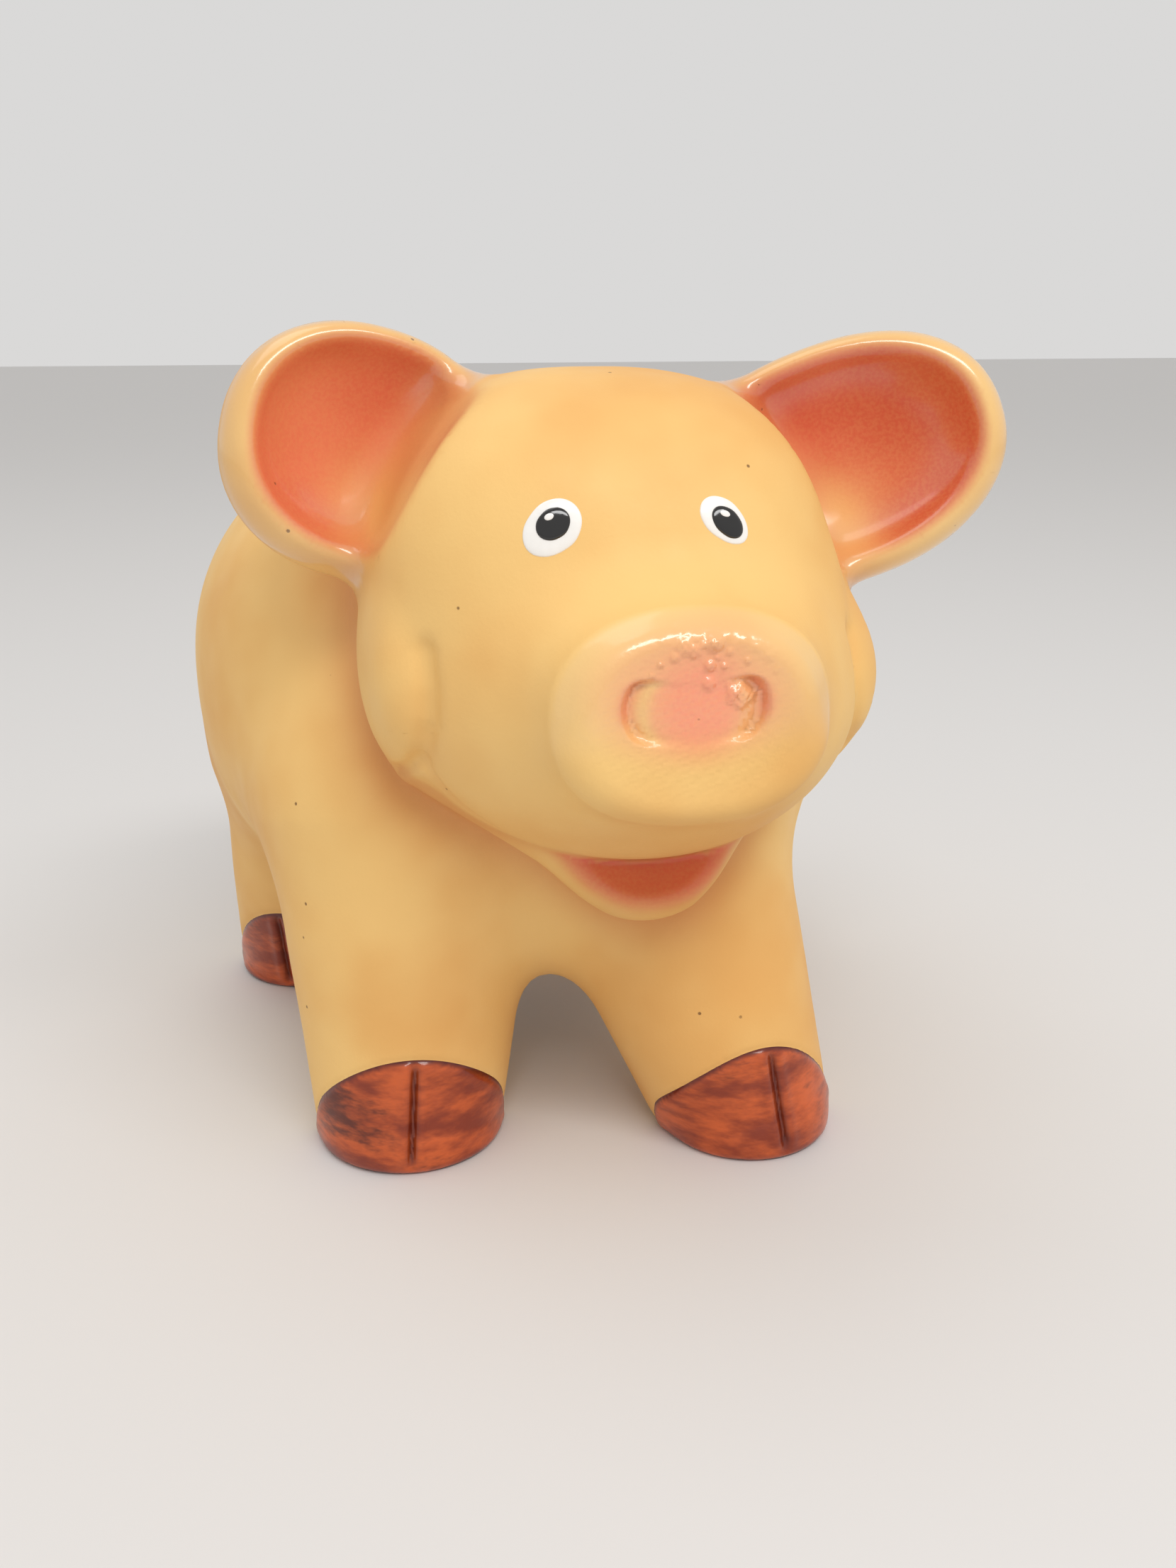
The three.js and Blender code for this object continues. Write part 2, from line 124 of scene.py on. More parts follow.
TAIL_CENTRE = (0.0, 106.0)
TAIL_TURNS = 1.35
TAIL_COIL = (10.5, 3.2)  # radius of the curl where it starts and where it ends
TAIL_THICKNESS = (3.7, 2.0)
TAIL_LIFT = 1.5
TAIL_STEPS = 48
TAIL_BLEND = 1.6

SLOT_HALF_WIDTH = 2.5
SLOT_HALF_LENGTH = 18.0
SLOT_Y = 30
HOLE_RADIUS = 17.5
SEAT_RADIUS = 21.8

# ------------------------------------------------------------ fields


def turn(axis, degrees):
    c, s = math.cos(math.radians(degrees)), math.sin(math.radians(degrees))
    rows = {
        "x": [[1, 0, 0], [0, c, -s], [0, s, c]],
        "y": [[c, 0, s], [0, 1, 0], [-s, 0, c]],
        "z": [[c, -s, 0], [s, c, 0], [0, 0, 1]],
    }
    return np.array(rows[axis], float)


HEAD_TURN = turn("z", -5)
SNOUT_TURN = turn("x", -2)


def smooth_min(a, b, k):
    h = np.clip(0.5 + 0.5 * (b - a) / k, 0, 1)
    return b + (a - b) * h - k * h * (1 - h)


def smooth_max(a, b, k):
    return -smooth_min(-a, -b, k)


def smoothstep(a, b, x):
    t = np.clip((x - a) / (b - a), 0, 1)
    return t * t * (3 - 2 * t)


def bulge(p, centre, radii, power):
    r = np.array(radii, float)
    u = np.abs(p - np.array(centre, float)) / r
    k = (u**power).sum(-1) ** (1 / power) + 1e-9
    slope = (u / k[..., None]) ** (power - 1) / r
    return (k - 1) / np.sqrt((slope * slope).sum(-1) + 1e-12)


def limb(p, a, b, ra, rb):
    a, b = np.array(a, float), np.array(b, float)
    ab = b - a
    t = np.clip(((p - a) @ ab) / (ab @ ab), 0, 1)
    return np.linalg.norm((p - a) - t[..., None] * ab, axis=-1) - (ra + (rb - ra) * t)


def within(p, low, high, field):
    """field where p lies in the box, and FAR elsewhere."""
    d = np.full(p.shape[:-1], FAR)
    near = ((p > np.array(low)) & (p < np.array(high))).all(-1)
    if near.any():
        d[near] = field(p[near])
    return d


def in_head(p):
    return (p - HEAD_ORIGIN) @ HEAD_TURN


def in_snout(q):
    return (q - SNOUT_CENTRE) @ SNOUT_TURN


def in_ear(q, side):
    centre, _, (tilt, lean, swing), _ = EARS[side]
    return (q - np.array(centre, float)) @ (turn("z", swing) @ turn("y", lean) @ turn("x", tilt))


def body_field(p):
    d = smooth_min(bulge(p, *BARREL), bulge(p, *CHEST), CHEST_BLEND)
    for ankle, hip, ra, rb, _, _ in LEGS.values():
        low = np.minimum(ankle, hip) - rb - LEG_BLEND - 2
        high = np.maximum(ankle, hip) + rb + LEG_BLEND + 2
        d = smooth_min(d, within(p, low, high, lambda a: limb(a, ankle, hip, ra, rb)), LEG_BLEND)
    return smooth_max(d, -p[..., 2], SOLE_EDGE)


def snout_share(s):
    """How far out a point is across the snout, 1 at its outline."""
    width, height = SNOUT_RADII
    power = SNOUT_SQUARENESS
    return (np.abs(s[..., 0] / width) ** power + np.abs(s[..., 2] / height) ** power) ** (1 / power)


def snout_field(q):
    s = in_snout(q)
    towards_face = np.clip((s[..., 1] + SNOUT_HALF_DEPTH) / 30, 0, 1)
    across = (snout_share(s) - 1) * SNOUT_RADII[1] + SNOUT_EDGE - SNOUT_FLARE * towards_face
    along = np.abs(s[..., 1]) - SNOUT_HALF_DEPTH + SNOUT_EDGE
    outside = np.hypot(np.maximum(across, 0), np.maximum(along, 0))
    return np.minimum(np.maximum(across, along), 0) + outside - SNOUT_EDGE


def head_field(q):
    return within(q, (-72, -78, -72), (68, 64, 68), near_head)


def muzzle_field(q):
    d = smooth_min(bulge(q, *SKULL), bulge(q, *MUZZLE), MUZZLE_BLEND)
    for cheek in CHEEKS:
        d = smooth_min(d, bulge(q, *cheek), CHEEK_BLEND)
    return d


def jaw_field(q):
    right, left = (limb(q, end, CHIN, JAW_CORNER_RADIUS, CHIN_RADIUS) for end in (JAW_RIGHT, JAW_LEFT))
    return smooth_max(smooth_min(right, left, CHIN_BLEND), -bulge(q, *LIP_SCOOP), LIP_BLEND)


def near_head(q):
    d = smooth_min(muzzle_field(q), jaw_field(q), MOUTH_BLEND)
    return smooth_min(d, snout_field(q), SNOUT_BLEND)


def ear_field(q, side):
    centre, radii, _, _ = EARS[side]
    reach = radii + EAR_MARGIN
    return within(q, centre - reach, centre + reach, lambda a: near_ear(a, side))


def cup_field(e, side):
    _, radii, _, rim = EARS[side]
    across, up = radii[0] - rim + 0.3, radii[2] - rim + 0.6
    cup = bulge(e, (0, -10.5, 1.4), (across, 13, up), EAR_SQUARENESS)
    return smooth_max(cup, e[..., 0] * INWARDS[side] - CUP_REACH - 0.12 * e[..., 2], 7)


def near_ear(q, side):
    e = in_ear(q, side)
    return smooth_max(bulge(e, (0, 0, 0), EARS[side][1], EAR_SQUARENESS), -cup_field(e, side), CUP_EDGE)


def casting_field(p):
    return smooth_min(body_field(p), head_field(in_head(p)), NECK_BLEND)


def between(ends, t):
    return ends[0] + (ends[1] - ends[0]) * t


def tail_path():
    """A spiral that is laid onto the rump from behind."""
    points, radii = [], []
    for i in range(TAIL_STEPS + 1):
        t = i / TAIL_STEPS
        angle = t * TAIL_TURNS * 2 * math.pi - math.pi / 2
        radius = between(TAIL_COIL, t)
        x = TAIL_CENTRE[0] + radius * math.cos(angle)
        z = TAIL_CENTRE[1] + radius * math.sin(angle)
        y = 110.0
        for _ in range(60):
            y -= float(body_field(np.array([[x, y, z]]))[0])
        points.append((x, y + TAIL_LIFT, z))
        radii.append(between(TAIL_THICKNESS, t))
    return points, radii


TAIL_POINTS, TAIL_RADII = tail_path()


def tail_field(p):
    return within(p, (-24, 72, 82), (24, 106, 130), near_tail)


def near_tail(p):
    d = np.full(p.shape[:-1], FAR)
    for i in range(TAIL_STEPS):
        piece = limb(p, TAIL_POINTS[i], TAIL_POINTS[i + 1], TAIL_RADII[i], TAIL_RADII[i + 1])
        d = np.minimum(d, piece)
    return d


def outer_field(p):
    """The whole casting's outside: the ears flow into the head, and their cups end in it."""
    q = in_head(p)
    casting = casting_field(p)
    d = smooth_min(casting, tail_field(p), TAIL_BLEND)
    for side, (centre, radii, _, _) in EARS.items():
        reach = radii + EAR_MARGIN
        near = ((q > centre - reach) & (q < centre + reach)).all(-1)
        if near.any():
            e = in_ear(q[near], side)
            joined = smooth_min(d[near], bulge(e, (0, 0, 0), radii, EAR_SQUARENESS), EAR_BLEND)
            hollow = smooth_max(cup_field(e, side), -3.5 - casting[near], 9)
            d[near] = smooth_max(joined, -hollow, CUP_EDGE)
    return d


# ------------------------------------------------------------ small forms of the surface


def hoof_depth(p, leg):
    """Distance from the slanted, arched edge of the stained hoof, negative on the hoof."""
    ankle, _, _, _, splay, toe = LEGS[leg]
    lean = math.pi / 2 - math.atan2(HOOF_TOP, toe + HOOF_HEEL)
    normal = turn("z", splay) @ np.array([0, math.cos(lean), math.sin(lean)])
    base = np.array([ankle[0], ankle[1] + HOOF_HEEL, 0.0])
    side = (p - base) @ (turn("z", splay) @ np.array([1.0, 0, 0]))
    arch = HOOF_TOP + 2.5 - HOOF_ARCH * side * side + HOOF_SLANT.get(leg, 0) * side
    d = smooth_max((p - base) @ normal, 0.9 * (p[..., 2] - arch), 5)
    away = np.hypot(p[..., 0] - ankle[0], p[..., 1] - ankle[1])
    return np.where((away < 32) & (p[..., 2] < 40), d, 40.0)


def in_hoof(p, leg):
    ankle, _, _, _, splay, _ = LEGS[leg]
    return (p - np.array([ankle[0], ankle[1], 0.0])) @ turn("z", splay)


def cleft_offset(local, leg):
    low, high = CLEFT_SHIFT.get(leg, (0, 0))
    return np.abs(local[..., 0] - low - (high - low) * local[..., 2] / HOOF_TOP)


def cleft_at(p, leg):
    """The distance to the cleft's line, and how much of the cleft is left there."""
    local = in_hoof(p, leg)
    left = smoothstep(-2, -8, local[..., 1]) * smoothstep(0.8, 4.5, local[..., 2])
    return cleft_offset(local, leg), left * smoothstep(-0.2, -2.4, hoof_depth(p, leg))


def hoof_relief(p, leg):
    d = hoof_depth(p, leg)
    x, left = cleft_at(p, leg)
    cleft = -0.95 * np.exp(-((x / 0.7) ** 2)) + 0.35 * np.exp(-(((x - 2.0) / 1.1) ** 2))
    edge = -0.3 * np.exp(-((d / 0.55) ** 2)) + 0.35 * np.exp(-(((d + 1.8) / 1.4) ** 2))
    return cleft * left + edge * smoothstep(40, 20, d)


# x, z in the snout's own frame, radius, height
LUMPS = [
    (2.2, 12.9, 1.55, 0.9), (-2.6, 12.3, 1.5, 0.6), (-0.9, 11.8, 1.1, 0.5), (-4.1, 10.8, 0.9, 0.5),
    (1.5, 9.3, 1.0, 0.7), (3.8, 9.1, 0.6, 0.45), (1.5, 6.3, 1.2, 0.6), (4.7, 5.9, 0.7, 0.4),
    (-6.5, 9.8, 0.6, 0.4), (-7.9, 8.1, 0.5, 0.3), (7.5, 9.9, 0.6, 0.4), (4.6, 11.4, 0.7, 0.35),
    (0.3, 12.7, 0.7, 0.4), (2.7, 10.6, 0.6, 0.35), (-1.3, 10.9, 0.5, 0.3), (5.4, 4.6, 1.1, 0.6),
    (6.7, 5.0, 1.5, 0.95), (8.3, 3.9, 1.2, 0.8), (6.9, 2.9, 1.2, 0.7), (5.2, 3.4, 0.8, 0.5),
    (-2.6, 14.6, 1.5, 0.18), (-0.4, 13.9, 1.0, 0.2), (4.2, 14.2, 1.0, 0.16), (6.9, 13.2, 1.0, 0.16),
    (8.9, 11.9, 0.8, 0.16), (10.9, 10.4, 0.9, 0.14), (-6.1, 13.6, 0.9, 0.14), (12.4, 8.2, 0.7, 0.14),
]
# x, z, side
NOSTRILS = [(-9.0, 2.2, -1), (8.0, 2.2, 1)]


def nostril_inwards(x, z, nostril):
    """Distance from the nostril's steep outer wall towards the snout's middle, and along it."""
    cx, cz, side = nostril
    along = z - cz - 0.12 * (x - cx) * side
    wall = 4.6 * np.sqrt(np.clip(1 - (along / 5.7) ** 2, 0, 1)) - 1.6
    return wall - (x - cx) * side, along


def snout_relief(s):
    """Outward relief of the snout's front face, from points in the snout's frame."""
    x, z = s[..., 0], s[..., 2]
    k = snout_share(s)
    front = smoothstep(-6, -10, s[..., 1])
    relief = -0.9 * smoothstep(0.95, 0.3, k)
    relief = relief - 1.7 * smoothstep(0.74, 1.1, k) * smoothstep(-6, 7, z)
    for nostril in NOSTRILS:
        inwards, along = nostril_inwards(x, z, nostril)
        ends = smoothstep(5.7, 3.9, np.abs(along))
        dent = smoothstep(-1.1, 1.2, inwards) * np.exp(-np.clip(inwards - 1.0, 0, 30) / 2.6)
        relief = relief - 2.2 * ends * dent
    for cx, cz, radius, height in LUMPS:
        r = np.hypot(x - cx, z - cz) / radius
        ragged = 1 + 0.2 * np.sin(5 * x + 4 * cz) * np.cos(4.4 * z + 5 * cx)
        relief = relief + height * np.clip(1 - (r / 1.25) ** 2, 0, 1) ** 1.5 * ragged
    grain = 0.05 * np.sin(5.1 * x + 1.7 * np.sin(3.3 * z)) * np.sin(5.7 * z + 2.1 * np.sin(2.9 * x))
    return front * (relief + grain * smoothstep(1.0, 0.5, k))


# x, y, z along each fold in the head's frame, then depth and half width
FOLDS = [
    ([(-39.6, -29.5, 3), (-39.2, -30.6, -4), (-39.4, -30.0, -9), (-40.2, -27.0, -14.5),
      (-41.0, -24.0, -18)], 1.5, 2.2),
    ([(-46.5, -11.0, -24), (-44.4, -14.8, -22.3), (-42.4, -20.2, -19.8), (-40.6, -24.4, -17.4)],
     1.7, 1.3),
    ([(-41.0, -24.0, -18.0), (-36.0, -24.0, -24.5), (-28.8, -24.5, -31.2)], 0.9, 1.3),
    ([(36.5, -28.0, 3), (37.0, -28.5, -6), (38.5, -26.0, -15), (39.5, -22.0, -19)], 1.3, 2.2),
]
# centre in the head's frame, radii, height
SWELLS = [((-44.5, -24.0, -5.5), (5.0, 6.5, 11.0), 2.6), ((42.0, -22.0, -7.0), (5.0, 6.5, 11.0), 2.0)]


def face_relief(q):
    """The folds beside the mouth and the swollen cheeks, from points in the head's frame."""
    relief = np.zeros(q.shape[:-1])
    for line, depth, width in FOLDS:
        nearest = np.full(q.shape[:-1], FAR)
        for a, b in zip(line, line[1:]):
            nearest = np.minimum(nearest, limb(q, a, b, 0, 0))
        relief -= depth * np.exp(-((nearest / width) ** 2))
    for centre, radii, height in SWELLS:
        u = (q - np.array(centre)) / np.array(radii)
        relief += height * np.exp(-(u * u).sum(-1))
    return relief


def relief_field(p):
    """How far the finished surface stands out from the plain forms, in millimetres."""
    x, y, z = p[..., 0], p[..., 1], p[..., 2]
    wave = 0.16 * np.sin(x / 8.3 + 0.6 + 0.7 * np.sin(z / 11.0)) * np.sin(z / 9.1 + 1.1)
    wave = wave + 0.14 * np.sin(y / 10.4 + 0.4 * np.sin(x / 7.0)) * np.sin(x / 12.7 - z / 9.9)
    relief = wave * smoothstep(0.5, 4, z)
    feet = z < 32
    if feet.any():
        at = p[feet]
        relief[feet] += sum(hoof_relief(at, leg) for leg in LEGS)
    q = in_head(p)
    s = in_snout(q)
    face = (s[..., 1] < -5) & (np.abs(s[..., 0]) < 26) & (np.abs(s[..., 2]) < 21)
    if face.any():
        relief[face] += snout_relief(s[face])
    cheeks = (q[..., 1] < -5) & (np.abs(q[..., 0]) > 24) & (q[..., 2] < 22) & (q[..., 2] > -38)
    if cheeks.any():
        relief[cheeks] += face_relief(q[cheeks])
    return relief


def from_stopper(p):
    return np.hypot(p[..., 0], p[..., 1] - STOPPER_Y)


def opening_field(p):
    """Negative where the coin slot or the stopper's hole has been cut."""
    across = np.abs(p[..., 0]) - SLOT_HALF_WIDTH
    along = np.abs(p[..., 1] - SLOT_Y) - SLOT_HALF_LENGTH
    slot = np.maximum(smooth_max(across, along, 1.6), 110 - p[..., 2])
    hole = np.maximum(from_stopper(p) - HOLE_RADIUS, np.abs(p[..., 2] - 35) - 25)
    seat = np.maximum(from_stopper(p) - SEAT_RADIUS, np.abs(p[..., 2] - 21.5) - 10)
    return np.minimum(slot, np.minimum(hole, seat))


def wall_behind_ears(p):
    """Extra thickness of the head's wall where the ear cups run into it."""
    extra = np.zeros(p.shape[:-1])
    q = in_head(p)
    near = (q[..., 2] > 2) & (q[..., 2] < 66) & (np.abs(q[..., 1]) < 50)
    if near.any():
        for side, (_, radii, _, _) in EARS.items():
            e = in_ear(q[near], side)
            reach = bulge(e, (0, -6, 0), (radii[0] + 3, 22, radii[2] + 3), 2.0)
            extra[near] += 5 * smoothstep(7, -1, reach)
    return extra


def shell_field(p, with_relief=True):
    d = outer_field(p)
    wall = WALL + wall_behind_ears(p)
    hollow = np.maximum(casting_field(p) + wall, FOOT_SOLID_HEIGHT - p[..., 2])
    if with_relief:
        d = d - relief_field(p)
    d = np.maximum(d, -hollow)
    return smooth_max(d, -opening_field(p), 1.0)


# ------------------------------------------------------------ meshing


def surface_nets(field, low, high, cell):
    """The field's zero surface as points and quads, one point in each grid cell that it crosses."""
    axes = [np.arange(low[i], high[i] + cell, cell) for i in range(3)]
    count = [len(a) for a in axes]
    values = np.empty(count)
    for i in range(count[0]):
        grid = np.meshgrid(axes[0][i:i + 1], axes[1], axes[2], indexing="ij")
        values[i] = field(np.stack(grid, -1))[0]
    inside = values < 0
    corners = [(i, j, k) for i in (0, 1) for j in (0, 1) for k in (0, 1)]
    cells = [c - 1 for c in count]
    total = np.zeros(cells, int)
    for i, j, k in corners:
        total += inside[i:cells[0] + i, j:cells[1] + j, k:cells[2] + k]
    crossed = np.argwhere((total > 0) & (total < 8))
    index = np.full(cells, -1)
    index[tuple(crossed.T)] = np.arange(len(crossed))
    at = np.stack([values[tuple((crossed + c).T)] for c in corners], 1)
    offsets = np.array(corners, float)
    points, hits = np.zeros((len(crossed), 3)), np.zeros(len(crossed))
    for a in range(8):
        for b in range(a + 1, 8):
            if np.abs(offsets[a] - offsets[b]).sum() != 1:
                continue
            cut = (at[:, a] < 0) != (at[:, b] < 0)
            t = np.where(cut, at[:, a] / (at[:, a] - at[:, b] + 1e-12), 0)
            step = offsets[a] + t[:, None] * (offsets[b] - offsets[a])
            points += np.where(cut[:, None], step, 0)
            hits += cut
    points = (crossed + points / hits[:, None]) * cell + np.array([a[0] for a in axes])
    quads = []
    for d in range(3):
        u, v = (d + 1) % 3, (d + 2) % 3
        near, far = [slice(None)] * 3, [slice(None)] * 3
        near[d], far[d] = slice(0, count[d] - 1), slice(1, count[d])
        first, second = inside[tuple(near)], inside[tuple(far)]
        edges = np.argwhere(first != second)
        kept = (edges[:, u] > 0) & (edges[:, v] > 0)
        kept &= (edges[:, u] < count[u] - 1) & (edges[:, v] < count[v] - 1)
        edges = edges[kept]
        starts_inside = first[tuple(edges.T)]
        around = []
        for du, dv in ((0, 0), (1, 0), (1, 1), (0, 1)):
            at_cell = edges.copy()
            at_cell[:, u] -= du
            at_cell[:, v] -= dv
            around.append(index[tuple(at_cell.T)])
        quad = np.stack(around, 1)
        quad[~starts_inside] = quad[~starts_inside][:, ::-1]
        quads.append(quad)
    return points, np.concatenate(quads)


TETRA = np.array([[1, -1, -1], [-1, -1, 1], [-1, 1, -1], [1, 1, 1]], float)


def slope_of(field, points, reach):
    """The field's value and its slope at each point."""
    values = np.stack([field(points + reach * t) for t in TETRA])
    return values.mean(0), (values[:, :, None] * TETRA[:, None, :]).sum(0) / (4 * reach)


def settle(field, points, rounds, reach=0.2, most=1.2):
    """Moves the points onto the field's zero surface."""
    points = points.copy()
    for _ in range(rounds):
        value, slope = slope_of(field, points, reach)
        length = np.maximum((slope * slope).sum(-1), 0.2)
        step = -slope * (value / length)[:, None]
        size = np.linalg.norm(step, axis=1, keepdims=True)
        points += step * np.minimum(1, most / np.maximum(size, 1e-9))
    return points


def refine(points, quads, others, chosen):
    """Splits the chosen quads into four. A neighbour that isn't split takes the new corners."""
    n = len(points)

    def keys(faces):
        ends = np.stack([faces, np.roll(faces, -1, axis=1)], -1)
        return ends.min(-1).astype(np.int64) * n + ends.max(-1)

    split, kept = quads[chosen], quads[~chosen]
    edge_keys, back = np.unique(keys(split), return_inverse=True)
    back = back.reshape(split.shape)
    middles = (points[edge_keys // n] + points[edge_keys % n]) / 2
    centres = points[split].mean(1)
    m = n + back
    c = n + len(middles) + np.arange(len(split))
    children = [np.stack([split[:, i], m[:, i], c, m[:, i - 1]], 1) for i in range(4)]
    kept_keys = keys(kept)
    place_in = np.clip(np.searchsorted(edge_keys, kept_keys), 0, len(edge_keys) - 1)
    touched = edge_keys[place_in] == kept_keys
    border = touched.any(1)
    made = []
    for face, hit, where in zip(kept[border], touched[border], place_in[border]):
        ring = []
        for i in range(4):
            ring.append(int(face[i]))
            if hit[i]:
                ring.append(n + int(where[i]))
        made.append(ring)
    for face in others:
        ring = []
        for a, b in zip(face, face[1:] + face[:1]):
            ring.append(a)
            key = min(a, b) * n + max(a, b)
            i = np.searchsorted(edge_keys, key)
            if i < len(edge_keys) and edge_keys[i] == key:
                ring.append(n + int(i))
        made.append(ring)
    points = np.concatenate([points, middles, centres])
    return points, np.concatenate(children + [kept[~border]]), made


SIDES = 17  # the most corners a face has


def padded(faces):
    """Faces of any number of corners as one array, filled up with -1."""
    return np.array([list(f) + [-1] * (SIDES - len(f)) for f in faces]).reshape(-1, SIDES)


def corner_mean(values, faces):
    held = faces >= 0
    total = (values[np.maximum(faces, 0)] * held[..., None]).sum(1)
    return total / held.sum(1)[:, None]


def cut(points, faces, value):
    """Cuts every face along value 0. Returns the points and the faces on the minus and plus sides."""
    low = value < 0
    held = faces >= 0
    count = (low[np.maximum(faces, 0)] & held).sum(1)
    mixed = (count > 0) & (count < held.sum(1))
    new, added, minus, plus = {}, [], [], []
    for row in faces[mixed]:
        face = [int(i) for i in row if i >= 0]
        parts = {True: [], False: []}
        for a, b in zip(face, face[1:] + face[:1]):
            parts[bool(low[a])].append(a)
            if low[a] != low[b]:
                key = (min(a, b), max(a, b))
                if key not in new:
                    t = float(value[key[0]] / (value[key[0]] - value[key[1]]))
                    t = min(max(t, 0.02), 0.98)
                    new[key] = len(points) + len(added)
                    added.append(points[key[0]] + t * (points[key[1]] - points[key[0]]))
                parts[True].append(new[key])
                parts[False].append(new[key])
        for side, made in ((True, minus), (False, plus)):
            if len(parts[side]) > 2:
                made.append(parts[side])
    if added:
        points = np.concatenate([points, added])
    whole = faces[~mixed]
    below = count[~mixed] > 0
    return (
        points,
        np.concatenate([whole[below], padded(minus)]),
        np.concatenate([whole[~below], padded(plus)]),
    )


def open_loops(faces):
    """The closed loops of edges that have a face on one side only, turned for a cap."""
    ends = []
    for i in range(SIDES):
        a = faces[:, i]
        following = faces[:, i + 1] if i + 1 < SIDES else np.full(len(faces), -1)
        b = np.where(following >= 0, following, faces[:, 0])
        ends.append(np.stack([a, b], 1)[a >= 0])
    ends = np.concatenate(ends)
    n = int(ends.max()) + 1
    there, back = ends[:, 0] * n + ends[:, 1], ends[:, 1] * n + ends[:, 0]
    after = {int(b): int(a) for a, b in ends[~np.isin(back, there)]}
    loops = []
    while after:
        start = next(iter(after))
        loop, here = [start], after.pop(start)
        while here != start and here in after:
            loop.append(here)
            here = after.pop(here)
        loops.append(loop)
    return loops


def face_zone(p):
    q = in_head(p)
    s = in_snout(q)
    snout = (s[..., 1] < -5) & (np.abs(s[..., 0]) < 24) & (np.abs(s[..., 2]) < 20)
    mouth = (q[..., 1] < -10) & (np.abs(q[..., 0]) < 47) & (q[..., 2] < -12) & (q[..., 2] > -50)
    return snout | mouth


def hoof_zone(p):
    near = np.zeros(len(p), bool)
    for leg in LEGS:
        near |= hoof_depth(p, leg) < 2.5
    return near & (p[..., 2] > 0.3)


def finest_zone(p):
    q = in_head(p)
    s = in_snout(q)
    snout = (s[..., 1] < -9) & (np.abs(s[..., 0]) < 17) & (np.abs(s[..., 2]) < 16.5)
    slot = (np.abs(opening_field(p)) < 1.7) & (p[..., 2] > 139)
    seat = (np.abs(from_stopper(p) - SEAT_RADIUS) < 1.5) & (p[..., 2] < 36)
    return snout | cleft_zone(p) | slot | seat


def cleft_zone(p):
    near = np.zeros(len(p), bool)
    for leg in LEGS:
        local = in_hoof(p, leg)
        near |= (cleft_offset(local, leg) < 3.2) & (local[..., 1] < -5) & (local[..., 1] > -32)
    return near & (p[..., 2] > 0.3) & (p[..., 2] < HOOF_TOP + 1)


def ear_zone(p):
    near = np.zeros(len(p), bool)
    q = in_head(p)
    for side in EARS:
        e = in_ear(q, side)
        near |= (cup_field(e, side) < 4) & (e[..., 1] > -16)
    return near & (casting_field(p) > -5)


def opening_zone(p):
    visible = (p[..., 2] > 134) | (p[..., 2] < 38)
    return (np.abs(opening_field(p)) < 2.6) & visible


GRID_LOW, GRID_HIGH = (-84, -108, -5.1), (92, 104, 170)
SKIN = 5.9  # the wall's outer faces lie less deep than this, and its inner ones deeper

cell = 3.4
points, quads = surface_nets(lambda p: shell_field(p, False), GRID_LOW, GRID_HIGH, cell)
points = settle(shell_field, points, 3, 0.4)
outside = casting_field(points[quads].mean(1)) > -SKIN
points, quads, others = refine(points, quads, [], outside)
points = settle(shell_field, points, 3, 0.3)
centres = points[quads].mean(1)
chosen = face_zone(centres) | hoof_zone(centres) | ear_zone(centres) | opening_zone(centres)
points, quads, others = refine(points, quads, others, chosen)
points = settle(shell_field, points, 2, 0.2, 0.6)
points, quads, others = refine(points, quads, others, finest_zone(points[quads].mean(1)))
points = settle(shell_field, points, 2, 0.12, 0.3)

faces = np.concatenate([padded(quads.tolist()), padded(others)])

# ------------------------------------------------------------ cutting it into its pieces

pieces = {}
rest = faces
for side in EARS:
    value = ear_field(in_head(points), side) - casting_field(points)
    points, pieces[side + "_ear"], rest = cut(points, rest, value)
value = tail_field(points) - casting_field(points)
points, pieces["tail"], rest = cut(points, rest, value)
for leg in LEGS:
    points, pieces[leg + "_hoof"], rest = cut(points, rest, hoof_depth(points, leg))
pieces["body_shell"] = rest

slopes = slope_of(shell_field, points, 0.15)[1]
normals = slopes / np.maximum(np.linalg.norm(slopes, axis=1, keepdims=True), 1e-9)

# ------------------------------------------------------------ paint masks


def ear_paint(p, side):
    """How strongly the coral airbrush covers a point of this ear's cup. It thins towards the head, and
    the lower middle of the floor is paler, partly from thinner spray and partly as painted light where
    the floor faces up.
    """
    e = in_ear(in_head(p), side)
    mask = smoothstep(2.4, -0.4, cup_field(e, side))
    inwards = e[..., 0] * INWARDS[side]
    # paler lower middle of the floor: partly thinner airbrush, partly painted light where the floor
    # faces up
    thin_spray_and_lit_floor = np.exp(-((inwards - 5) / 10) ** 2 - ((e[..., 2] + 10) / 9) ** 2)
    root = smoothstep(-2, 12, inwards - 0.35 * e[..., 2])
    return mask * (1 - 0.8 * thin_spray_and_lit_floor) * (1 - 0.75 * root)


def lip_mask(q):
    """How strongly the lip colour covers the jaw's pocket, from points in the head's frame."""
    on_jaw = smoothstep(0.6, -0.6, jaw_field(q) - muzzle_field(q))
    spread = smoothstep(6.5, -2.5, bulge(q, *LIP_SCOOP)) * smoothstep(29, 13, np.abs(q[..., 0] + 1))
    return spread * on_jaw * (0.4 + 0.6 * smoothstep(-52, -42, q[..., 2]))


